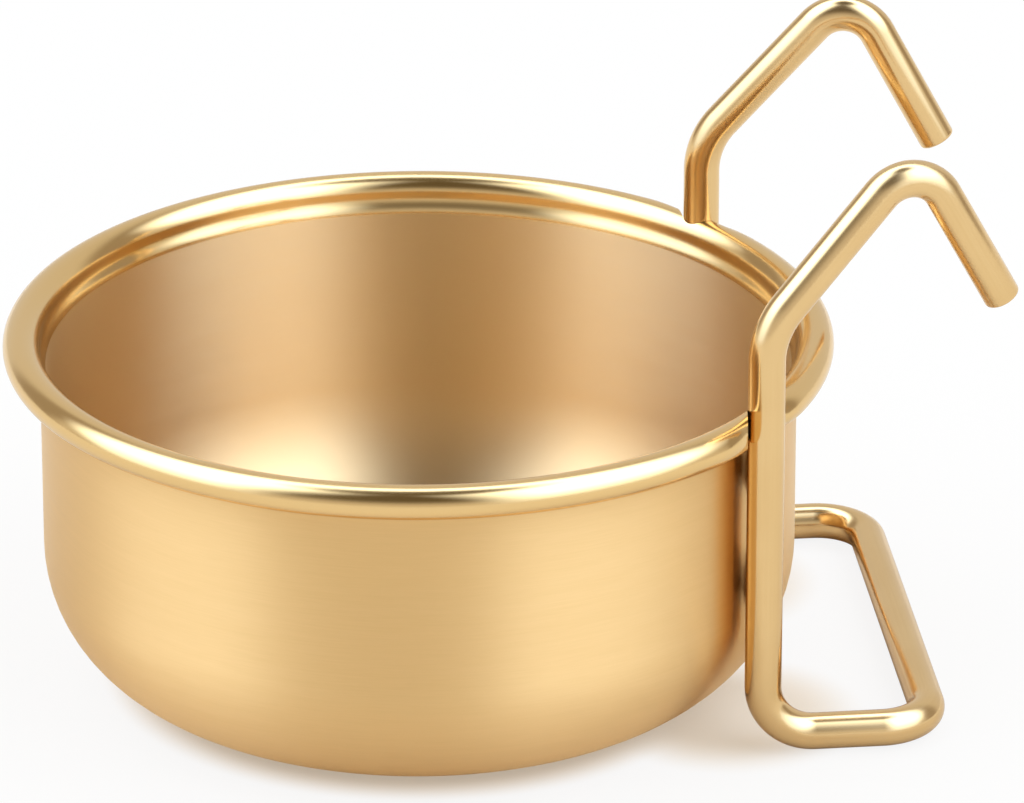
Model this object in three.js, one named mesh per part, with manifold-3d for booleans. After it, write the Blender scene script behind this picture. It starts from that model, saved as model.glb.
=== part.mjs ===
// Hook-on feeding bowl: a drawn sheet bowl with a curled rim, carried by one bent wire.
// Millimetres, +Z up. The origin is the centre of the bowl's flat underside.
// The wire hanger is at the back, towards +Y, and is the same on both sides of X = 0.

import * as THREE from 'three';
import { mergeVertices } from 'three/addons/utils/BufferGeometryUtils.js';
import Module from 'manifold-3d';

// Bowl
const rimDiameter = 127;
const bowlHeight = 57;
const sheetThickness = 0.9;
const cornerRadius = 22;
const rollWidth = 5.6; // across the curled rim, from its inner side to its outer edge
const rollHeight = 5.2;
const mouthFlare = 0.9; // the wall widens this much into the curl
const flareHeight = 3.4; // the widening ends at the middle of the curl
const curlGap = 0.6; // from the curl's raw edge to the wall
const slotTurn = Math.PI / 29; // each slot opens to its side and slightly to the front

// Wire hanger, measured along the centre of the wire
const wireDiameter = 5.7;
const legSpacing = 76.1; // from leg to leg
const legInset = 1.9; // legs stand this far inside the rim's outer edge
const footReach = 26.3; // from the legs back to the cross rail
const legHeight = 69.4; // floor to the shoulder of the hook
const apexReach = 23; // from the leg, in the hook's own plane
const apexHeight = 96;
const tipReach = 36.9;
const tipHeight = 70.7;
const hookTurn = Math.PI / 18; // each hook's plane is turned in about its leg
const heelBend = 8;
const railBend = 8;
const shoulderBend = 13;
const apexBend = 6;

// Weld beads between each leg and the bowl's wall
const beadLength = 10;
const beadBite = 0.45; // how far a bead laps onto the leg, and more onto the wall
const beadAngle = Math.PI / 4; // round the leg, from the side that faces the wall towards X = 0

// Fits
const seatClearance = 0.3; // between pieces that touch on the real object
const floorClearance = 0.3; // under the wire, so that the bowl stands on its base

// Facets
const turnSegments = 64;
const cornerSteps = 7;
const rollSteps = 18;
const hollowSteps = 10;
const flareSteps = 5;
const wireSides = 16;
const bendSteps = 8;
const slotSides = 32;
const beadSides = 12;

// Derived places
const rimRadius = rimDiameter / 2;
const mouthRadius = rimRadius - rollWidth + sheetThickness;
const wallRadius = mouthRadius - mouthFlare;
const wireRadius = wireDiameter / 2;
const flatRadius = wallRadius - cornerRadius;
const rollBottom = bowlHeight - rollHeight;
const rollCentre = [rimRadius - rollWidth / 2, bowlHeight - rollHeight / 2];
const flareBottom = rollCentre[1] - flareHeight;
const neckHeight = Math.min(rollBottom, flareBottom); // the wall is plain below this height
const legX = legSpacing / 2;
const legRadius = rimRadius - legInset;
const legY = Math.sqrt(legRadius ** 2 - legX ** 2);
const footHeight = wireRadius + floorClearance;

const wasm = await Module();
wasm.setup();

const satinGold = { color: 0xcfa567, metalness: 1, roughness: 0.38 };
const polishedGold = { color: 0xd9b77c, metalness: 1, roughness: 0.16 };
const weldGold = { color: 0xc39a5c, metalness: 1, roughness: 0.45 };

// A closed three.js geometry as a solid, with its shared corners merged
function toSolid(geometry) {
  const bare = geometry.clone();
  bare.deleteAttribute('normal');
  bare.deleteAttribute('uv');
  const merged = mergeVertices(bare);
  const index = merged.getIndex().array;
  const triVerts = [];
  for (let i = 0; i < index.length; i += 3) {
    const [a, b, c] = [index[i], index[i + 1], index[i + 2]];
    if (a !== b && b !== c && c !== a) triVerts.push(a, b, c);
  }
  return new wasm.Manifold(new wasm.Mesh({
    numProp: 3,
    vertProperties: new Float32Array(merged.getAttribute('position').array),
    triVerts: new Uint32Array(triVerts),
  }));
}

function toGeometry(solid) {
  const { vertProperties, triVerts } = solid.getMesh();
  const geometry = new THREE.BufferGeometry();
  geometry.setAttribute('position', new THREE.BufferAttribute(vertProperties, 3));
  geometry.setIndex(new THREE.BufferAttribute(triVerts, 1));
  geometry.computeVertexNormals();
  return geometry;
}

function namedMesh(name, geometry, finish) {
  const mesh = new THREE.Mesh(geometry, new THREE.MeshStandardMaterial(finish));
  mesh.name = name;
  return mesh;
}

// An upright round bar about (x, y), from one height to another
function uprightBar(radius, sides, x, y, low, high) {
  return new THREE.CylinderGeometry(radius, radius, high - low, sides)
    .rotateX(Math.PI / 2)
    .translate(x, y, (low + high) / 2);
}

function arcPoints(radiusX, radiusZ, centre, from, to, clockwise, steps) {
  return new THREE.EllipseCurve(...centre, radiusX, radiusZ, from, to, clockwise).getPoints(steps);
}

// The wall's widening into the curl, upwards, for one face of the sheet
function flarePoints(inset) {
  const middle = (flareBottom + rollCentre[1]) / 2;
  const low = new THREE.Vector2(wallRadius - inset, flareBottom);
  const high = new THREE.Vector2(mouthRadius - inset, rollCentre[1]);
  const bendLow = new THREE.Vector2(low.x, middle);
  const bendHigh = new THREE.Vector2(high.x, middle);
  return new THREE.CubicBezierCurve(low, bendLow, bendHigh, high).getPoints(flareSteps);
}

// Half section of the sheet: underside, corner, wall and the inside of the curl on the way out,
// then the curl's outside, the wall and the corner again on the way back to the axis
function bowlSection() {
  const cornerCentre = [flatRadius, cornerRadius];
  const rollSkin = [rollWidth / 2, rollHeight / 2];
  const hollowSkin = rollSkin.map((half) => half - sheetThickness);
  const curlReach = rollCentre[0] - (wallRadius + mouthRadius) / 2 - curlGap;
  const curlEnd = Math.PI + Math.acos(curlReach / rollSkin[0]);
  const innerCorner = cornerRadius - sheetThickness;
  const down = -Math.PI / 2;
  return [
    new THREE.Vector2(0, 0),
    ...arcPoints(cornerRadius, cornerRadius, cornerCentre, down, 0, false, cornerSteps),
    ...flarePoints(0),
    ...arcPoints(...hollowSkin, rollCentre, Math.PI, curlEnd, true, hollowSteps),
    ...arcPoints(...rollSkin, rollCentre, curlEnd, Math.PI, false, rollSteps),
    ...flarePoints(sheetThickness).reverse(),
    ...arcPoints(innerCorner, innerCorner, cornerCentre, 0, down, true, cornerSteps),
    new THREE.Vector2(0, sheetThickness),
  ];
}

// Straight slot from the side of the rim in to the leg, with a round end that fits the wire
function rimSlot(side) {
  const slotRadius = wireRadius + seatClearance;
  const low = neckHeight - seatClearance;
  const high = bowlHeight + seatClearance;
  const reach = rimRadius - legX;
  const channel = new THREE.BoxGeometry(reach, 2 * slotRadius, high - low)
    .translate(side * (reach / 2), 0, 0)
    .rotateZ(-side * slotTurn)
    .translate(side * legX, legY, (low + high) / 2);
  const seat = uprightBar(slotRadius, slotSides, side * legX, legY, low, high);
  return toSolid(seat).add(toSolid(channel));
}

// Filling of the curl near the legs, so that the slots leave closed ends
function curlFilling() {
  const halves = [rollWidth, rollHeight].map((size) => size / 2 - sheetThickness / 2);
  const outline = arcPoints(...halves, rollCentre, 0, 2 * Math.PI, false, rollSteps);
  const ring = toSolid(new THREE.LatheGeometry(outline, turnSegments).rotateX(Math.PI / 2));
  const reach = rollWidth + wireRadius;
  const near = [-1, 1].map((side) => (
    toSolid(uprightBar(reach, slotSides, side * legX, legY, 0, 2 * bowlHeight))
  ));
  return ring.intersect(near[0].add(near[1]));
}

function bowl() {
  const turned = new THREE.LatheGeometry(bowlSection(), turnSegments).rotateX(Math.PI / 2);
  const slotted = toSolid(turned).add(curlFilling()).subtract(rimSlot(-1)).subtract(rimSlot(1));
  return namedMesh('bowl', toGeometry(slotted), satinGold);
}

// The wire's centreline: straight runs, and more stations where it bends
class WirePath extends THREE.Curve {
  constructor(stations) {
    super();
    this.stations = stations;
  }

  getPoint(t, target = new THREE.Vector3()) {
    const place = t * (this.stations.length - 1);
    const before = this.stations[Math.floor(place)];
    const after = this.stations[Math.ceil(place)];
    return target.lerpVectors(before.point, after.point, place - Math.floor(place));
  }

  getPointAt(u, target) {
    return this.getPoint(u, target);
  }

  getTangentAt(u, target = new THREE.Vector3()) {
    return target.copy(this.stations[Math.round(u * (this.stations.length - 1))].tangent);
  }
}

// Stations on a circular bend of the given radius that rounds off one corner
function bendStations(before, corner, after, radius) {
  const entry = corner.clone().sub(before).normalize();
  const exit = after.clone().sub(corner).normalize();
  const turn = entry.angleTo(exit);
  const inward = exit.clone().addScaledVector(entry, -entry.dot(exit)).normalize();
  const centre = corner.clone()
    .addScaledVector(entry, -radius * Math.tan(turn / 2))
    .addScaledVector(inward, radius);
  return Array.from({ length: bendSteps + 1 }, (_, step) => {
    const angle = (turn * step) / bendSteps;
    const point = centre.clone()
      .addScaledVector(entry, radius * Math.sin(angle))
      .addScaledVector(inward, -radius * Math.cos(angle));
    const tangent = entry.clone().multiplyScalar(Math.cos(angle))
      .addScaledVector(inward, Math.sin(angle));
    return { point, tangent };
  });
}

// Corners of one side, from the hook's tip down to the cross rail, each with its bend
function sideCorners(side) {
  const corners = [
    [tipReach, hookTurn, tipHeight, 0],
    [apexReach, hookTurn, apexHeight, apexBend],
    [0, 0, legHeight, shoulderBend],
    [0, 0, footHeight, heelBend],
    [footReach, 0, footHeight, railBend],
  ];
  return corners.map(([reach, turn, height, bend]) => {
    const x = legX - reach * Math.sin(turn);
    const y = legY + reach * Math.cos(turn);
    return { point: new THREE.Vector3(side * x, y, height), bend };
  });
}

function wirePath() {
  const corners = [...sideCorners(1), ...sideCorners(-1).reverse()];
  const points = corners.map((corner) => corner.point);
  const last = points.length - 1;
  const bends = corners.slice(1, last).flatMap(({ bend }, i) => (
    bendStations(points[i], points[i + 1], points[i + 2], bend)
  ));
  const direction = (from, to) => to.clone().sub(from).normalize();
  return new WirePath([
    { point: points[0], tangent: direction(points[0], points[1]) },
    ...bends,
    { point: points[last], tangent: direction(points[last - 1], points[last]) },
  ]);
}

function hangerWire() {
  const section = new THREE.Shape().absarc(0, 0, wireRadius, 0, 2 * Math.PI);
  const path = wirePath();
  const geometry = new THREE.ExtrudeGeometry(section, {
    extrudePath: path,
    steps: path.stations.length - 1,
    curveSegments: wireSides / 2,
  });
  return namedMesh('hanger_wire', geometry, polishedGold);
}

// A short bead in the crevice between a leg and the wall, on the side that faces the other leg
function weldBead(name, side, height) {
  const crevice = (legRadius - wallRadius) / Math.cos(beadAngle) - wireRadius;
  const beadRadius = crevice / 2 + beadBite;
  const inward = new THREE.Vector2(-legX, -legY).divideScalar(legRadius);
  const place = inward.rotateAround(new THREE.Vector2(), -beadAngle)
    .multiplyScalar(wireRadius + crevice / 2)
    .add(new THREE.Vector2(legX, legY));
  const lump = new THREE.SphereGeometry(beadRadius, beadSides, beadSides)
    .rotateX(Math.PI / 2)
    .scale(1, 1, beadLength / (2 * beadRadius))
    .translate(side * place.x, place.y, height);
  const low = height - beadLength;
  const high = height + beadLength;
  const leg = uprightBar(wireRadius + seatClearance, slotSides, side * legX, legY, low, high);
  const wall = uprightBar(wallRadius + seatClearance, turnSegments, 0, 0, low, high);
  const bead = toSolid(lump).subtract(toSolid(leg)).subtract(toSolid(wall));
  return namedMesh(name, toGeometry(bead), weldGold);
}

function weldBeads() {
  const upperHeight = neckHeight - seatClearance - beadLength / 2;
  const lowerHeight = cornerRadius + beadLength / 2;
  return [
    weldBead('upper_weld_left', -1, upperHeight),
    weldBead('upper_weld_right', 1, upperHeight),
    weldBead('lower_weld_left', -1, lowerHeight),
    weldBead('lower_weld_right', 1, lowerHeight),
  ];
}

const feedingBowl = new THREE.Group();
feedingBowl.name = 'hanging_feeding_bowl';
feedingBowl.add(bowl(), hangerWire(), ...weldBeads());

export default feedingBowl;
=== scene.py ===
import math

import bpy
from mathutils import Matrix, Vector


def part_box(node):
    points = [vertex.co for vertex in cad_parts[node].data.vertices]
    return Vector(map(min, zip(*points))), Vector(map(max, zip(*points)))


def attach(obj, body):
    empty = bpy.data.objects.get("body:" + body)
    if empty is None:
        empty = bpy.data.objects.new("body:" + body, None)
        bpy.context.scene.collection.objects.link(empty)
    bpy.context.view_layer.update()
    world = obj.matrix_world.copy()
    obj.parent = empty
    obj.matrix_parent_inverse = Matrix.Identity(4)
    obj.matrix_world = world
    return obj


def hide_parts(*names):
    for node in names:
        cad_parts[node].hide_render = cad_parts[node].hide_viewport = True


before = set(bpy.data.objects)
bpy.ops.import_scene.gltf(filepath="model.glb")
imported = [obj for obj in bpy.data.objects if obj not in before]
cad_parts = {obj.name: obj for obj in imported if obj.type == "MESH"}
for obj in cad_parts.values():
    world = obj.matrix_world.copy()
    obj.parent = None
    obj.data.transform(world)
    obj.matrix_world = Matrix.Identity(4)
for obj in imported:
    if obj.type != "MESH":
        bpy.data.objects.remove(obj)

mm = 0.001
scene = bpy.context.scene
scene.view_settings.view_transform = "Standard"
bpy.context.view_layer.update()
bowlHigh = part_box("bowl")[1]
wireLow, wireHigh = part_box("hanger_wire")
print("frame:", ", ".join(sorted(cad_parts)))


# Small helpers for node trees

def feed(tree, value, socket):  # a link where the value is a socket, else a plain setting
    if isinstance(value, bpy.types.NodeSocket):
        tree.links.new(value, socket)
    else:
        socket.default_value = value


def feedAll(tree, node, inputs):
    for name, value in inputs.items():
        feed(tree, value, node.inputs[name])


def addNode(tree, kind, inputs=None, **settings):
    node = tree.nodes.new(kind)
    for name, value in settings.items():
        setattr(node, name, value)
    feedAll(tree, node, inputs or {})
    return node


def calc(tree, operation, first, second=0.0):
    return addNode(tree, "ShaderNodeMath", {0: first, 1: second}, operation=operation).outputs[0]


def minus(tree, first, second):
    return calc(tree, "SUBTRACT", first, second)


def total(tree, first, *others):
    for other in others:
        first = calc(tree, "ADD", first, other)
    return first


def product(tree, first, *others):
    for other in others:
        first = calc(tree, "MULTIPLY", first, other)
    return first


def vectorCalc(tree, operation, first, second=(0, 0, 0)):
    return addNode(tree, "ShaderNodeVectorMath", {0: first, 1: second}, operation=operation)


def lengthOf(tree, vector):
    return vectorCalc(tree, "LENGTH", vector).outputs["Value"]


def unitOf(tree, vector):
    return vectorCalc(tree, "NORMALIZE", vector).outputs[0]


def splitXyz(tree, vector):
    return addNode(tree, "ShaderNodeSeparateXYZ", {0: vector}).outputs


def joinXyz(tree, x, y, z):
    return addNode(tree, "ShaderNodeCombineXYZ", {0: x, 1: y, 2: z}).outputs[0]


def ramp(tree, value, low, high, toLow=0.0, toHigh=1.0, style="SMOOTHSTEP"):
    inputs = {"Value": value, "From Min": low, "From Max": high, "To Min": toLow, "To Max": toHigh}
    return addNode(tree, "ShaderNodeMapRange", inputs, interpolation_type=style).outputs["Result"]


def fade(tree, distance, span, toLow=0.0, toHigh=1.0):  # a ramp whose span is in mm
    return ramp(tree, distance, span[0] * mm, span[1] * mm, toLow, toHigh)


def blendValue(tree, share, first, second):
    return addNode(tree, "ShaderNodeMix", {0: share, 2: first, 3: second}).outputs[0]


def blendColour(tree, share, first, second):
    return addNode(tree, "ShaderNodeMix", {0: share, 6: first, 7: second}, data_type="RGBA").outputs[2]


def objectPlace(tree):
    return addNode(tree, "ShaderNodeTexCoord").outputs["Object"]


def speckle(tree, vector, scale=1.0, detail=2.0, rough=0.55):
    inputs = {"Vector": vector, "Scale": scale, "Detail": detail, "Roughness": rough}
    return addNode(tree, "ShaderNodeTexNoise", inputs).outputs["Fac"]


def unevenness(tree, strength, depth, height):
    inputs = {"Strength": strength, "Distance": depth * mm, "Height": height}
    return addNode(tree, "ShaderNodeBump", inputs).outputs[0]


def newMetal(name):
    finish = bpy.data.materials.new(name)
    finish.use_nodes = True
    shader = finish.node_tree.nodes["Principled BSDF"]
    shader.inputs["Metallic"].default_value = 1.0
    return finish, finish.node_tree, shader


def clearedTree(owner):
    owner.use_nodes = True
    owner.node_tree.nodes.clear()
    return owner.node_tree


# Geometry Nodes: a tree with named sizes, and the plain mesh that it leaves

def newTree(name, sizes):
    tree = bpy.data.node_groups.new(name, "GeometryNodeTree")
    tree.interface.new_socket("Geometry", in_out="INPUT", socket_type="NodeSocketGeometry")
    for label, value in sizes.items():
        kind = "NodeSocketInt" if isinstance(value, int) else "NodeSocketFloat"
        tree.interface.new_socket(label, in_out="INPUT", socket_type=kind)
    tree.interface.new_socket("Finish", in_out="INPUT", socket_type="NodeSocketMaterial")
    tree.interface.new_socket("Geometry", in_out="OUTPUT", socket_type="NodeSocketGeometry")
    return tree, addNode(tree, "NodeGroupInput").outputs


def endTree(tree, geometry, finish):
    smooth = addNode(tree, "GeometryNodeSetShadeSmooth", {"Geometry": geometry})
    real = addNode(tree, "GeometryNodeRealizeInstances", {"Geometry": smooth.outputs[0]})
    dressed = addNode(tree, "GeometryNodeSetMaterial", {"Geometry": real.outputs[0], "Material": finish})
    addNode(tree, "NodeGroupOutput", {"Geometry": dressed.outputs[0]})


def pointPlace(tree):
    return addNode(tree, "GeometryNodeInputPosition").outputs[0]


def combine(tree, operation, tools, body=None):
    node = addNode(tree, "GeometryNodeMeshBoolean", operation=operation, solver="MANIFOLD")
    if body is not None:
        tree.links.new(body, node.inputs[0])
    for tool in tools:
        tree.links.new(tool, node.inputs[1])
    return node.outputs[0]


def growPiece(name, start, tree, sizes, finish):
    piece = bpy.data.objects.new(name, start)
    scene.collection.objects.link(piece)
    modifier = piece.modifiers.new(tree.name, "NODES")
    modifier.node_group = tree
    values = {**sizes, "Finish": finish}
    for item in tree.interface.items_tree:
        if item.in_out == "INPUT" and item.name in values:
            modifier[item.identifier] = values[item.name]
    return piece


def settle(piece, creaseAngle):  # the evaluated shape becomes the piece's own mesh
    graph = bpy.context.evaluated_depsgraph_get()
    mesh = bpy.data.meshes.new_from_object(
        piece.evaluated_get(graph), preserve_all_data_layers=True, depsgraph=graph)
    piece.modifiers.clear()
    piece.data = mesh
    mesh.name = piece.name
    mesh.set_sharp_from_angle(angle=math.radians(creaseAngle))
    print("made", piece.name, len(mesh.polygons), "faces")


def lineMesh(name, points):
    mesh = bpy.data.meshes.new(name)
    mesh.from_pydata(points, [(i, i + 1) for i in range(len(points) - 1)], [])
    return mesh


def dress(piece, slot, *nodes):
    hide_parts(*nodes)
    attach(piece, "root")


# Bent wire: corners with their bends, rounded and swept

wire = {
    "diameter": 5.6,
    "footReach": 26.3,
    "legHeight": 69.4,
    "apexReach": 23.0,  # from the leg, in the hook's own plane
    "apexHeight": 95.95,
    "tipReach": 36.9,
    "tipHeight": 70.7,
    "hookTurn": 10.0,  # degrees that each hook is turned in
    "heelBend": 8.0,
    "railBend": 8.0,
    "shoulderBend": 13.0,
    "apexBend": 6.0,
    "bendSteps": 22,
    "sides": 56,
    "tipBevel": 0.5,
    "tipSteps": 4,
    "tipAngle": 60.0,  # degrees past which an edge is bevelled
    "creaseAngle": 40.0,
    "halfBox": 2.85,  # from the wire's centre to its side in the frame
}
legX = wireHigh.x - wire["halfBox"] * mm
legY = wireLow.y + wire["halfBox"] * mm
footHeight = wireLow.z + wire["halfBox"] * mm


def wireCorners():
    turn = math.radians(wire["hookTurn"])
    hook = (-math.sin(turn) * mm, math.cos(turn) * mm)
    back = (0.0, mm)
    side = [
        (wire["tipReach"], hook, wire["tipHeight"] * mm, 0.0),
        (wire["apexReach"], hook, wire["apexHeight"] * mm, wire["apexBend"]),
        (0.0, back, wire["legHeight"] * mm, wire["shoulderBend"]),
        (0.0, back, footHeight, wire["heelBend"]),
        (wire["footReach"], back, footHeight, wire["railBend"]),
    ]
    right = [
        ((legX + reach * way[0], legY + reach * way[1], height), bend * mm)
        for reach, way, height, bend in side]
    left = [((-x, y, z), bend) for (x, y, z), bend in reversed(right)]
    return right + left


def wireTree(sizes):
    tree, given = newTree("bendWire", sizes)
    curve = addNode(tree, "GeometryNodeMeshToCurve", {"Mesh": given["Geometry"]})
    bend = addNode(tree, "GeometryNodeInputNamedAttribute", {"Name": "bend"}, data_type="FLOAT")
    rounded = addNode(tree, "GeometryNodeFilletCurve", {
        "Curve": curve.outputs[0], "Count": given["Bend Steps"], "Radius": bend.outputs[0]}, mode="POLY")
    length = addNode(tree, "GeometryNodeSplineParameter").outputs["Length"]
    marked = addNode(tree, "GeometryNodeStoreNamedAttribute", {
        "Geometry": rounded.outputs[0], "Name": "alongWire", "Value": length}, data_type="FLOAT")
    ring = addNode(tree, "GeometryNodeCurvePrimitiveCircle", {
        "Resolution": given["Sides"], "Radius": product(tree, given["Diameter"], 0.5)})
    ringMarked = addNode(tree, "GeometryNodeStoreNamedAttribute", {
        "Geometry": ring.outputs[0], "Name": "aroundWire", "Value": unitOf(tree, pointPlace(tree))},
        data_type="FLOAT_VECTOR")
    swept = addNode(tree, "GeometryNodeCurveToMesh", {
        "Curve": marked.outputs[0], "Profile Curve": ringMarked.outputs[0], "Fill Caps": True})
    endTree(tree, swept.outputs[0], given["Finish"])
    return tree


def makeWire(finish):
    corners = wireCorners()
    start = lineMesh("wireCorners", [point for point, _ in corners])
    bends = start.attributes.new("bend", "FLOAT", "POINT")
    for i, (_, bend) in enumerate(corners):
        bends.data[i].value = bend
    sizes = {
        "Bend Steps": wire["bendSteps"], "Sides": wire["sides"], "Diameter": wire["diameter"] * mm}
    piece = growPiece("wireHanger", start, wireTree(sizes), sizes, finish)
    bevel = piece.modifiers.new("tipEdge", "BEVEL")
    bevel.width = wire["tipBevel"] * mm
    bevel.segments = wire["tipSteps"]
    bevel.limit_method = "ANGLE"
    bevel.angle_limit = math.radians(wire["tipAngle"])
    settle(piece, wire["creaseAngle"])
    dress(piece, "hanger_wire", "hanger_wire")


# Polished gold of the wire: faint drawn lines along it, and rubbing where the hooks sit

polish = {
    "darkGold": (0.76, 0.51, 0.23, 1),
    "lightGold": (0.81, 0.56, 0.265, 1),
    "drawLines": 9.0,  # patches of noise per radian around the wire
    "lineRun": 30.0,
    "drawDepth": 0.0015,
    "drawStrength": 0.2,
    "patchSize": 14.0,
    "patchShare": 0.5,  # of the tone, and the drawn lines give the rest
    "toneSpan": (0.3, 0.7),
    "rough": (0.16, 0.21),
    "rubFade": (83.0, 89.0),  # heights in mm over which the rubbing sets in
    "rubSpan": (0.45, 0.6),
    "rubRough": 0.06,
}


def polishedGold():
    finish, tree, shader = newMetal("polishedGold")
    along = addNode(tree, "ShaderNodeAttribute", attribute_name="alongWire").outputs["Fac"]
    around = addNode(tree, "ShaderNodeAttribute", attribute_name="aroundWire").outputs["Vector"]
    place = objectPlace(tree)
    ringX, ringY, _ = splitXyz(tree, around)
    lines = joinXyz(
        tree, product(tree, ringX, polish["drawLines"]), product(tree, ringY, polish["drawLines"]),
        calc(tree, "DIVIDE", along, polish["lineRun"] * mm))
    drawn = speckle(tree, lines, detail=3.0, rough=0.65)
    patch = speckle(tree, place, scale=1 / (polish["patchSize"] * mm), detail=3.0)
    atHooks = fade(tree, splitXyz(tree, place)["Z"], polish["rubFade"])
    rubbed = product(tree, atHooks, ramp(tree, patch, *polish["rubSpan"]))
    tone = ramp(tree, blendValue(tree, polish["patchShare"], drawn, patch), *polish["toneSpan"])
    rough = ramp(tree, drawn, *polish["toneSpan"], *polish["rough"], style="LINEAR")
    feedAll(tree, shader, {
        "Base Color": blendColour(tree, tone, polish["darkGold"], polish["lightGold"]),
        "Roughness": total(tree, rough, product(tree, rubbed, polish["rubRough"])),
        "Normal": unevenness(tree, polish["drawStrength"], polish["drawDepth"], drawn)})
    return finish


# Bowl: the sheet's half section turned about the axis, then pressed in and slotted for the two legs

bowl = {
    "sheet": 0.9,
    "corner": 22.0,
    "rollWidth": 5.6,
    "rollHeight": 5.2,
    "mouthFlare": 0.9,  # the wall widens this much into the curl
    "flareHeight": 3.4,
    "curlGap": 0.6,
    "slotGap": 0.1,
    "slotTurn": 180 / 29,  # degrees that a slot opens to the front
    "slotDepth": 1.2,  # of the curl's height
    "slotMiddle": 0.42,  # of the slot's depth, down from the rim's top
    "pressWidth": 3.0,  # the rim is pressed in softly on both sides of a slot
    "pressDepth": 1.2,
    "fillTurn": 22.0,  # degrees of the curl that are filled at each leg
    "fillSteps": 24,
    "fillSides": 48,
    "seatSides": 64,
    "cornerSteps": 18,
    "rollSteps": 40,
    "hollowSteps": 12,
    "flareSteps": 8,
    "segments": 640,
    "seamGap": 0.002,  # points closer than this are joined, at the axis and where the turn closes
    "creaseAngle": 35.0,
}
wallRadius = bowlHigh.x - (bowl["rollWidth"] - bowl["sheet"] + bowl["mouthFlare"]) * mm
rollMiddle = bowlHigh.z - bowl["rollHeight"] / 2 * mm


def arcPoints(centre, radii, start, end, steps):
    angles = [start + (end - start) * i / steps for i in range(steps + 1)]
    return [
        (centre[0] + radii[0] * math.cos(a), centre[1] + radii[1] * math.sin(a)) for a in angles]


def flarePoints(inset):  # one face of the wall's widening, an S curve up to the middle of the curl
    points = []
    for i in range(bowl["flareSteps"] + 1):
        t = i / bowl["flareSteps"]
        out = bowl["mouthFlare"] * mm * t * t * (3 - 2 * t)
        rise = bowl["flareHeight"] * mm * t * (1.5 - 1.5 * t + t * t)
        points.append((wallRadius - inset + out, rollMiddle - bowl["flareHeight"] * mm + rise))
    return points


def sheetOutline():
    sheet, corner = bowl["sheet"] * mm, bowl["corner"] * mm
    rollWidth, rollHeight = bowl["rollWidth"] * mm, bowl["rollHeight"] * mm
    flat = (wallRadius - corner, corner)
    roll = (bowlHigh.x - rollWidth / 2, rollMiddle)
    skin = (rollWidth / 2, rollHeight / 2)
    hollow = (skin[0] - sheet, skin[1] - sheet)
    reach = roll[0] - wallRadius - (bowl["mouthFlare"] / 2 + bowl["curlGap"]) * mm
    curlEnd = math.acos(reach / skin[0]) - math.pi  # angle of the curl's raw edge
    inner = corner - sheet
    outline = [(0.0, 0.0)]
    outline += arcPoints(flat, (corner, corner), -math.pi / 2, 0.0, bowl["cornerSteps"])
    outline += flarePoints(0.0)[:-1]
    outline += arcPoints(roll, hollow, math.pi, curlEnd, bowl["hollowSteps"])
    outline += arcPoints(roll, skin, curlEnd, math.pi, bowl["rollSteps"])
    outline += flarePoints(sheet)[-2::-1]
    outline += arcPoints(flat, (inner, inner), 0.0, -math.pi / 2, bowl["cornerSteps"])
    return outline + [(0.0, sheet)]


def turnOutline(tree, given):  # a grid with the outline in each column, taken round the axis and closed
    outline = given["Geometry"]
    count = addNode(
        tree, "GeometryNodeAttributeDomainSize", {"Geometry": outline}).outputs["Point Count"]
    grid = addNode(tree, "GeometryNodeMeshGrid", {
        "Vertices X": total(tree, given["Segments"], 1.0), "Vertices Y": count})
    index = addNode(tree, "GeometryNodeInputIndex").outputs[0]
    step = calc(tree, "MODULO", index, count)
    column = calc(tree, "FLOOR", calc(tree, "DIVIDE", total(tree, index, 0.5), count))
    section = addNode(tree, "GeometryNodeSampleIndex", {
        "Geometry": outline, "Value": pointPlace(tree), "Index": step}, data_type="FLOAT_VECTOR")
    turn = calc(tree, "DIVIDE", product(tree, column, 2 * math.pi), given["Segments"])
    turned = addNode(tree, "ShaderNodeVectorRotate", {
        "Vector": section.outputs[0], "Angle": turn}, rotation_type="Z_AXIS")
    lathe = addNode(tree, "GeometryNodeSetPosition", {
        "Geometry": grid.outputs[0], "Position": turned.outputs[0]})
    return addNode(tree, "GeometryNodeMergeByDistance", {
        "Geometry": lathe.outputs[0], "Distance": given["Seam Gap"]}).outputs[0]


def curlFillings(tree, given):  # the curl made solid at each leg, so that the slot has closed ends
    circle = addNode(tree, "GeometryNodeCurvePrimitiveCircle", {
        "Resolution": given["Fill Sides"], "Radius": 1.0})
    oval = addNode(tree, "GeometryNodeTransform", {
        "Geometry": circle.outputs[0],
        "Scale": joinXyz(tree, given["Fill Half"], given["Fill Depth"], 1.0)})
    fillings = []
    for side in (-1.0, 1.0):
        legAngle = calc(tree, "ARCTAN2", given["Leg Y"], product(tree, given["Leg X"], side))
        arc = addNode(tree, "GeometryNodeCurveArc", {
            "Resolution": given["Fill Steps"], "Radius": given["Roll Radius"],
            "Start Angle": minus(tree, legAngle, product(tree, given["Fill Turn"], 0.5)),
            "Sweep Angle": given["Fill Turn"]}, mode="RADIUS")
        lifted = addNode(tree, "GeometryNodeTransform", {
            "Geometry": arc.outputs[0], "Translation": joinXyz(tree, 0.0, 0.0, given["Roll Level"])})
        filling = addNode(tree, "GeometryNodeCurveToMesh", {
            "Curve": lifted.outputs[0], "Profile Curve": oval.outputs[0], "Fill Caps": True})
        fillings.append(filling.outputs[0])
    return fillings


def slotWay(tree, given):
    return calc(tree, "COSINE", given["Slot Turn"]), calc(tree, "SINE", given["Slot Turn"])


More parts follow.
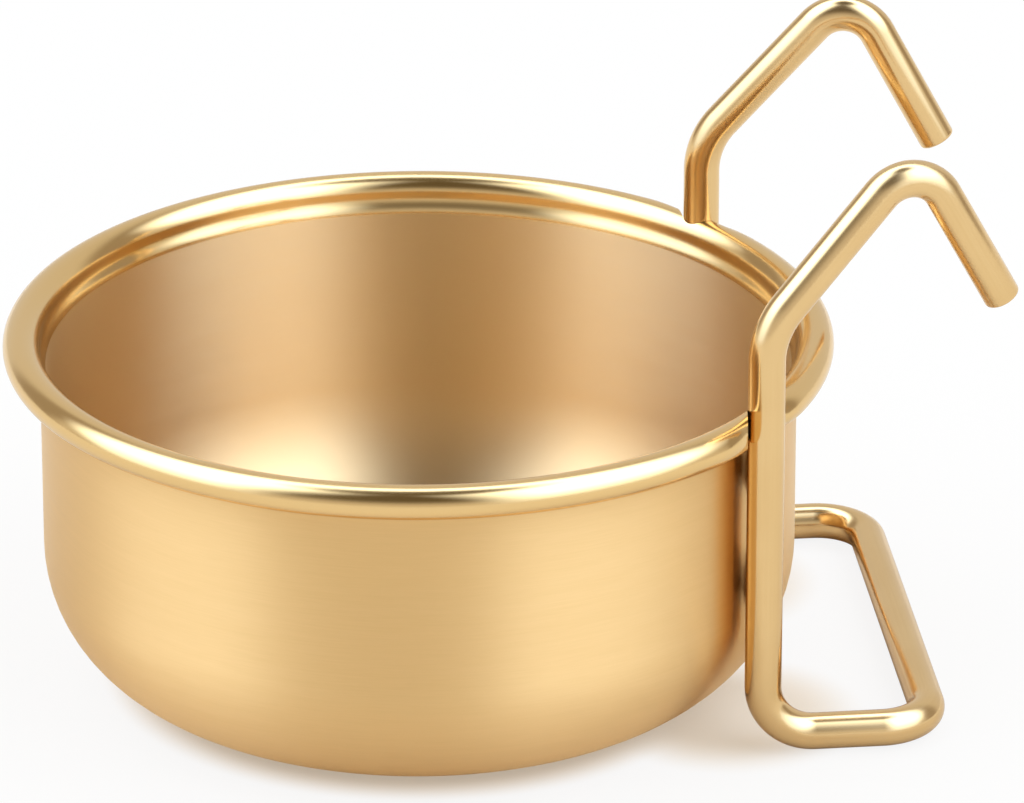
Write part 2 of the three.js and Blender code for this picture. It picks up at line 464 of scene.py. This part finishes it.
def pressRim(tree, given, body):  # the curl gives way beside each leg, most at its outer side
    x, y, _ = splitXyz(tree, pointPlace(tree))
    ahead, across = slotWay(tree, given)
    fromLegX = minus(tree, calc(tree, "ABSOLUTE", x), given["Leg X"])
    fromLegY = minus(tree, y, given["Leg Y"])
    beside = calc(tree, "ABSOLUTE", total(
        tree, product(tree, fromLegX, across), product(tree, fromLegY, ahead)))
    fromSlot = minus(tree, beside, given["Slot Radius"])
    near = ramp(tree, fromSlot, given["Press Width"], 0.0, style="LINEAR")
    radius = lengthOf(tree, joinXyz(tree, x, y, 0.0))
    outer = ramp(tree, radius, given["Mouth Radius"], given["Rim Radius"], style="LINEAR")
    push = product(tree, near, near, product(tree, outer, given["Press Depth"]))
    pushX = product(tree, push, ahead, calc(tree, "SIGN", x), -1.0)
    return addNode(tree, "GeometryNodeSetPosition", {
        "Geometry": body, "Offset": joinXyz(tree, pushX, product(tree, push, across), 0.0)}).outputs[0]


def slotTools(tree, given):  # for each leg a round seat, and a channel from there out past the rim
    ahead, across = slotWay(tree, given)
    reach = minus(tree, given["Rim Radius"], given["Leg X"])
    width = product(tree, given["Slot Radius"], 2.0)
    channelY = minus(tree, given["Leg Y"], product(tree, across, reach, 0.5))
    tools = []
    for side in (-1.0, 1.0):
        seatX = product(tree, given["Leg X"], side)
        channelX = total(tree, seatX, product(tree, ahead, reach, side * 0.5))
        seat = addNode(tree, "GeometryNodeMeshCylinder", {
            "Vertices": given["Seat Sides"], "Radius": given["Slot Radius"],
            "Depth": given["Slot Depth"]})
        seatMoved = addNode(tree, "GeometryNodeTransform", {
            "Geometry": seat.outputs[0],
            "Translation": joinXyz(tree, seatX, given["Leg Y"], given["Slot Level"])})
        channel = addNode(tree, "GeometryNodeMeshCube", {
            "Size": joinXyz(tree, reach, width, given["Slot Depth"])})
        channelMoved = addNode(tree, "GeometryNodeTransform", {
            "Geometry": channel.outputs[0],
            "Translation": joinXyz(tree, channelX, channelY, given["Slot Level"]),
            "Rotation": joinXyz(tree, 0.0, 0.0, product(tree, given["Slot Turn"], -side))})
        tools += [seatMoved.outputs[0], channelMoved.outputs[0]]
    return tools


def bowlTree(sizes):
    tree, given = newTree("turnBowl", sizes)
    filled = combine(tree, "UNION", [turnOutline(tree, given), *curlFillings(tree, given)])
    pressed = pressRim(tree, given, filled)
    slotted = combine(tree, "DIFFERENCE", slotTools(tree, given), pressed)
    endTree(tree, slotted, given["Finish"])
    return tree


def makeBowl(finish):
    start = lineMesh("sheetOutline", [(r, 0.0, z) for r, z in sheetOutline()])
    slotDepth = bowl["rollHeight"] * bowl["slotDepth"] * mm
    sizes = {
        "Segments": bowl["segments"], "Seam Gap": bowl["seamGap"] * mm,
        "Rim Radius": bowlHigh.x, "Mouth Radius": bowlHigh.x - bowl["rollWidth"] * mm,
        "Roll Radius": bowlHigh.x - bowl["rollWidth"] / 2 * mm, "Roll Level": rollMiddle,
        "Leg X": legX, "Leg Y": legY,
        "Slot Radius": (wire["diameter"] / 2 + bowl["slotGap"]) * mm,
        "Slot Turn": math.radians(bowl["slotTurn"]), "Slot Depth": slotDepth,
        "Slot Level": bowlHigh.z - slotDepth * bowl["slotMiddle"], "Seat Sides": bowl["seatSides"],
        "Press Width": bowl["pressWidth"] * mm, "Press Depth": bowl["pressDepth"] * mm,
        "Fill Turn": math.radians(bowl["fillTurn"]),
        "Fill Steps": bowl["fillSteps"], "Fill Sides": bowl["fillSides"],
        "Fill Half": (bowl["rollWidth"] - bowl["sheet"]) / 2 * mm,
        "Fill Depth": (bowl["rollHeight"] - bowl["sheet"]) / 2 * mm}
    piece = growPiece("feedBowl", start, bowlTree(sizes), sizes, finish)
    settle(piece, bowl["creaseAngle"])
    dress(piece, "bowl_shell", "bowl")


# Satin gold of the bowl: brushed in rings round the axis, polished on the rim, with painted shade inside

satin = {
    "darkGold": (0.85, 0.555, 0.235, 1),
    "lightGold": (0.89, 0.59, 0.26, 1),
    # painted shade: a darker, less saturated gold inside the bowl, for the shade and the gold-on-gold
    # reflections there
    "insideShadeGold": (0.74, 0.55, 0.31, 1),
    "insideShadeShare": 0.7,  # how far the inside takes on its painted shade
    "rimGold": (0.79, 0.54, 0.235, 1),
    "rimShare": 0.8,
    "rimFade": (51.0, 51.8),  # heights in mm over which the brushing gives way to polish
    "fineLine": 0.16,  # mm from one brush line to the next
    "fineRuns": 9.0,  # patches of noise per radian along a line
    "fineWeight": 0.5,
    "broadLine": 1.1,
    "broadRuns": 2.5,
    "broadWeight": 0.3,
    "cloudSize": 35.0,
    "cloudWeight": 0.2,
    "standFade": (0.05, 0.5),  # rubbed brighter where the base stands
    "standWeight": 0.15,
    "toneSpan": (0.25, 0.75),
    "satinRough": (0.38, 0.46),
    "cloudSpan": (0.3, 0.7),
    "rimRough": (0.13, 0.18),
    "brushDepth": 0.004,
    "brushStrength": 0.3,
    "anisotropy": 0.90,
    "grainTurn": 0.25,  # of a full turn, from along the rings to across them
}


def innerFace(tree, radius, z):  # 1 on the inner face of the sheet and 0 on its outer face
    corner = bowl["corner"] * mm
    past = calc(tree, "MAXIMUM", minus(tree, radius, wallRadius - corner), 0.0)
    under = calc(tree, "MAXIMUM", minus(tree, corner, z), 0.0)
    depth = lengthOf(tree, joinXyz(tree, past, under, 0.0))
    return calc(tree, "LESS_THAN", depth, corner - bowl["sheet"] / 2 * mm)


def satinGold():
    finish, tree, shader = newMetal("satinGold")
    place = objectPlace(tree)
    x, y, z = splitXyz(tree, place)
    flat = joinXyz(tree, x, y, 0.0)
    radius = lengthOf(tree, flat)
    aroundX, aroundY, _ = splitXyz(tree, unitOf(tree, flat))
    climb = total(tree, radius, z)

    def brushLines(kind):
        runs = satin[kind + "Runs"]
        lines = speckle(tree, joinXyz(
            tree, product(tree, aroundX, runs), product(tree, aroundY, runs),
            calc(tree, "DIVIDE", climb, satin[kind + "Line"] * mm)))
        return product(tree, lines, satin[kind + "Weight"])

    cloud = speckle(tree, place, scale=1 / (satin["cloudSize"] * mm))
    rim = fade(tree, z, satin["rimFade"])
    standing = fade(tree, z, satin["standFade"], 1.0, 0.0)
    brushing = total(
        tree, brushLines("fine"), brushLines("broad"), product(tree, cloud, satin["cloudWeight"]),
        product(tree, standing, satin["standWeight"]))
    tone = ramp(tree, blendValue(tree, rim, brushing, cloud), *satin["toneSpan"])
    colour = blendColour(tree, tone, satin["darkGold"], satin["lightGold"])
    # painted shade inside the bowl: its inner face takes the darker, less saturated gold
    insideShade = product(tree, innerFace(tree, radius, z), satin["insideShadeShare"])
    colour = blendColour(tree, insideShade, colour, satin["insideShadeGold"])
    colour = blendColour(tree, product(tree, rim, satin["rimShare"]), colour, satin["rimGold"])
    brushed = ramp(tree, brushing, *satin["toneSpan"], *satin["satinRough"], style="LINEAR")
    polished = ramp(tree, cloud, *satin["cloudSpan"], *satin["rimRough"], style="LINEAR")
    height = product(tree, brushing, minus(tree, 1.0, rim))
    ring = joinXyz(tree, product(tree, y, -1.0), x, 0.0)
    feedAll(tree, shader, {
        "Base Color": colour, "Roughness": blendValue(tree, rim, brushed, polished),
        "Normal": unevenness(tree, satin["brushStrength"], satin["brushDepth"], height),
        "Anisotropic": satin["anisotropy"], "Anisotropic Rotation": satin["grainTurn"],
        "Tangent": unitOf(tree, ring)})
    return finish


# Weld beads: overlapping drops of metal, melted into one

weld = {
    "drops": 9,
    "dropWidth": 0.98,  # of the frame's bead
    "dropHeight": 0.8,  # of a drop's width
    "endRoom": 0.75,  # of a drop's radius, kept at each end of the line
    "taper": 0.45,  # how much smaller the end drops are
    "tilt": 0.5,  # radians
    "wander": 0.12,  # how much smaller a drop can be by chance
    "dropSegments": 24,
    "dropRings": 16,
    "voxel": 0.13,
    "smoothing": 8,
    "seed": 5,
    "creaseAngle": 180.0,
}


def weldTree(sizes):
    tree, given = newTree("layWeld", sizes)
    line = addNode(tree, "GeometryNodeMeshToCurve", {"Mesh": given["Geometry"]})
    spots = addNode(tree, "GeometryNodeResampleCurve", {
        "Curve": line.outputs[0], "Count": given["Drops"]}, mode="COUNT")
    drop = addNode(tree, "GeometryNodeMeshUVSphere", {
        "Segments": given["Drop Segments"], "Rings": given["Drop Rings"], "Radius": given["Drop Radius"]})
    along = addNode(tree, "GeometryNodeSplineParameter").outputs["Factor"]
    fromMiddle = minus(tree, product(tree, along, 2.0), 1.0)
    swell = minus(tree, 1.0, product(tree, fromMiddle, fromMiddle, given["Taper"]))
    wander = addNode(tree, "FunctionNodeRandomValue", {
        "Min": minus(tree, 1.0, given["Wander"]), "Max": 1.0, "Seed": given["Seed"]},
        data_type="FLOAT")
    size = product(tree, swell, wander.outputs[1])
    laid = addNode(tree, "GeometryNodeInstanceOnPoints", {
        "Points": spots.outputs[0], "Instance": drop.outputs[0],
        "Scale": joinXyz(tree, size, size, product(tree, size, given["Drop Height"])),
        "Rotation": joinXyz(tree, given["Tilt"], 0.0, 0.0)})
    endTree(tree, laid.outputs[0], given["Finish"])
    return tree


def dropRadius(node):
    low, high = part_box(node)
    half = (high - low) / 2
    return min(half.x, half.y) * weld["dropWidth"]


def weldLine(node):  # upwards through the middle of the frame's bead
    low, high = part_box(node)
    middle, half = (low + high) / 2, (high - low) / 2
    run = half.z - dropRadius(node) * weld["endRoom"]
    return lineMesh(node + "Line", [
        (middle.x, middle.y, middle.z - run), (middle.x, middle.y, middle.z + run)])


def weldSizes(node, seed):
    return {
        "Drops": weld["drops"], "Drop Radius": dropRadius(node), "Drop Height": weld["dropHeight"],
        "Drop Segments": weld["dropSegments"], "Drop Rings": weld["dropRings"],
        "Taper": weld["taper"], "Tilt": weld["tilt"], "Wander": weld["wander"], "Seed": seed}


def makeWelds(finish):
    beads = sorted(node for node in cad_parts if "_weld_" in node)
    tree = weldTree(weldSizes(beads[0], weld["seed"]))
    for seed, node in enumerate(beads, weld["seed"]):
        level, _, side = node.split("_")
        piece = growPiece(
            level + "Weld" + side.title(), weldLine(node), tree, weldSizes(node, seed), finish)
        melt = piece.modifiers.new("melt", "REMESH")
        melt.mode = "VOXEL"
        melt.voxel_size = weld["voxel"] * mm
        melt.use_smooth_shade = True
        soften = piece.modifiers.new("soften", "SMOOTH")
        soften.iterations = weld["smoothing"]
        settle(piece, weld["creaseAngle"])
        piece.data.materials.clear()
        piece.data.materials.append(finish)
        dress(piece, "weld_bead", node)


# Dull gold of the weld beads

weldFinish = {
    "darkGold": (0.44, 0.25, 0.09, 1),
    "lightGold": (0.66, 0.42, 0.18, 1),
    "grainSize": 0.5,
    "grainSpan": (0.3, 0.7),
    "grainDepth": 0.03,
    "grainStrength": 0.4,
    "rough": (0.32, 0.5),
}


def weldGold():
    finish, tree, shader = newMetal("weldGold")
    scale = 1 / (weldFinish["grainSize"] * mm)
    grain = speckle(tree, objectPlace(tree), scale=scale, detail=4.0, rough=0.7)
    tone = ramp(tree, grain, *weldFinish["grainSpan"])
    feedAll(tree, shader, {
        "Base Color": blendColour(tree, tone, weldFinish["darkGold"], weldFinish["lightGold"]),
        "Roughness": ramp(tree, grain, *weldFinish["grainSpan"], *weldFinish["rough"], style="LINEAR"),
        "Normal": unevenness(tree, weldFinish["grainStrength"], weldFinish["grainDepth"], grain)})
    return finish


# Studio: white paper in a pale room, a tall soft window on each side, dark above the camera

studio = {
    "white": (1, 1, 1, 1),
    "paper": (0.64, 0.56, 0.45, 1),
    "paperGlow": (0.42, 0.88),  # share of plain light that the lens sees in the paper, close by and away; the lower share close by paints shadow around the metal
    "paintedGoldBounce": (1, 0.86, 0.68, 1),  # painted warm light: a gold bounce painted on the paper close to the metal
    "bowlShadowFade": (42.0, 50.0),  # mm from the bowl's axis, over which the painted shadow fades out
    "footShadowFade": (9.0, 22.0),  # mm from a spot on the paper beside each leg's foot, over which the painted shadow fades out
    "footShadowSpot": (24.0, 45.0),
    "paperFront": 1100.0,
    "paperHalf": 1500.0,
    "paperLevel": -0.1,
    "turn": 17.0,  # degrees to the front, from the X axis to the middle between the windows
    "room": (0.76, 0.76, 0.76, 1),
    "ceiling": (0.14, 0.12, 0.09, 1),
    "ceilingFade": (0.05, 0.66),
    "backRise": 0.5,  # how much higher the room stays pale behind
    "backFade": (0.3, -0.4),
    "gap": (0.42, 0.38, 0.34, 1),  # dim strip between each window and the back
    "gapFront": (-0.10, -0.30),
    "gapBack": (-0.72, -0.52),
}
windows = {
    "colour": (0.80, 0.95, 1.22),
    "low": 1.6,  # level at the floor
    "high": 3.8,
    "rise": (-0.05, 0.75),
    "frontEdge": (-0.588, 0.809, 0.0),  # edges as planes through the middle of the room
    "frontFade": (-0.20, 0.22),
    "lowEdge": (0.816, -0.130, 0.564),
    "lowFade": (-0.12, 0.16),
    "topFade": (0.99, 0.93),
}


def whitePaper():
    paper = bpy.data.materials.new("whitePaper")
    tree = clearedTree(paper)
    x, y, _ = splitXyz(tree, objectPlace(tree))

    def awayFrom(spotX, spotY, span):
        apartX = minus(tree, calc(tree, "ABSOLUTE", x), spotX * mm)
        apartY = minus(tree, y, spotY * mm)
        return fade(tree, lengthOf(tree, joinXyz(tree, apartX, apartY, 0.0)), span)

    # painted shadow: close to the bowl and beside each foot the lens sees less plain white, and the glow
    # there is a painted warm gold bounce
    clearOfPaintedShade = product(
        tree, awayFrom(0.0, 0.0, studio["bowlShadowFade"]), awayFrom(*studio["footShadowSpot"], studio["footShadowFade"]))
    camera = addNode(tree, "ShaderNodeLightPath").outputs["Is Camera Ray"]
    seen = product(tree, camera, ramp(tree, clearOfPaintedShade, 0.0, 1.0, *studio["paperGlow"], style="LINEAR"))
    diffuse = addNode(tree, "ShaderNodeBsdfDiffuse", {"Color": studio["paper"]})
    glow = addNode(tree, "ShaderNodeEmission", {
        "Color": blendColour(tree, clearOfPaintedShade, studio["paintedGoldBounce"], studio["white"]), "Strength": 1.0})
    mixed = addNode(tree, "ShaderNodeMixShader", {0: seen, 1: diffuse.outputs[0], 2: glow.outputs[0]})
    addNode(tree, "ShaderNodeOutputMaterial", {"Surface": mixed.outputs[0]})
    return paper


def makeFloor():
    half, front = studio["paperHalf"] * mm, studio["paperFront"] * mm
    level = studio["paperLevel"] * mm
    mesh = bpy.data.meshes.new("paperFloor")
    mesh.from_pydata(
        [(-half, -half, level), (front, -half, level), (front, half, level), (-half, half, level)],
        [], [(0, 1, 2, 3)])
    mesh.materials.append(whitePaper())
    floor = bpy.data.objects.new("paperFloor", mesh)
    scene.collection.objects.link(floor)


def makeRoom():
    room = bpy.data.worlds.new("paleRoom")
    scene.world = room
    tree = clearedTree(room)
    towards = addNode(tree, "ShaderNodeTexCoord").outputs["Generated"]
    turned = addNode(tree, "ShaderNodeVectorRotate", {
        "Vector": towards, "Angle": math.radians(studio["turn"])}, rotation_type="Z_AXIS").outputs[0]
    ahead, across, z = splitXyz(tree, turned)
    mirrored = joinXyz(tree, ahead, calc(tree, "ABSOLUTE", across), z)

    def edge(name):
        reach = vectorCalc(tree, "DOT_PRODUCT", mirrored, windows[name + "Edge"]).outputs["Value"]
        return ramp(tree, reach, *windows[name + "Fade"])

    gap = product(tree, ramp(tree, ahead, *studio["gapFront"]), ramp(tree, ahead, *studio["gapBack"]))
    colour = blendColour(tree, gap, studio["room"], studio["gap"])
    behind = ramp(tree, ahead, *studio["backFade"], 0.0, studio["backRise"])
    above = ramp(tree, minus(tree, z, behind), *studio["ceilingFade"])
    colour = blendColour(tree, above, colour, studio["ceiling"])
    level = ramp(tree, z, *windows["rise"], windows["low"], windows["high"])
    shine = vectorCalc(tree, "SCALE", windows["colour"])
    feed(tree, level, shine.inputs["Scale"])
    window = product(tree, edge("front"), edge("low"), ramp(tree, z, *windows["topFade"]))
    colour = blendColour(tree, window, colour, shine.outputs[0])
    camera = addNode(tree, "ShaderNodeLightPath").outputs["Is Camera Ray"]
    around = addNode(tree, "ShaderNodeBackground", {"Color": colour})
    white = addNode(tree, "ShaderNodeBackground", {"Color": studio["white"], "Strength": 1.0})
    mixed = addNode(tree, "ShaderNodeMixShader", {0: camera, 1: around.outputs[0], 2: white.outputs[0]})
    addNode(tree, "ShaderNodeOutputWorld", {"Surface": mixed.outputs[0]})


viewpoint = {
    "azimuth": 83.8,
    "elevation": 23.75,
    "distance": 1300.0,
    "target": (1.54, 14.21, 43.8),
    "lens": 298.1,
    "sensor": 36.0,
}


def makeCamera():
    turn, lift = math.radians(viewpoint["azimuth"]), math.radians(viewpoint["elevation"])
    back = Vector((
        math.sin(turn) * math.cos(lift), -math.cos(turn) * math.cos(lift), math.sin(lift)))
    data = bpy.data.cameras.new("photoCamera")
    data.lens = viewpoint["lens"]
    data.sensor_width = viewpoint["sensor"]
    camera = bpy.data.objects.new("photoCamera", data)
    camera.location = (Vector(viewpoint["target"]) + back * viewpoint["distance"]) * mm
    camera.rotation_euler = (-back).to_track_quat("-Z", "Y").to_euler()
    scene.collection.objects.link(camera)
    scene.camera = camera


makeCamera()
makeFloor()
makeRoom()
print("studio ready")
makeBowl(satinGold())
makeWire(polishedGold())
makeWelds(weldGold())
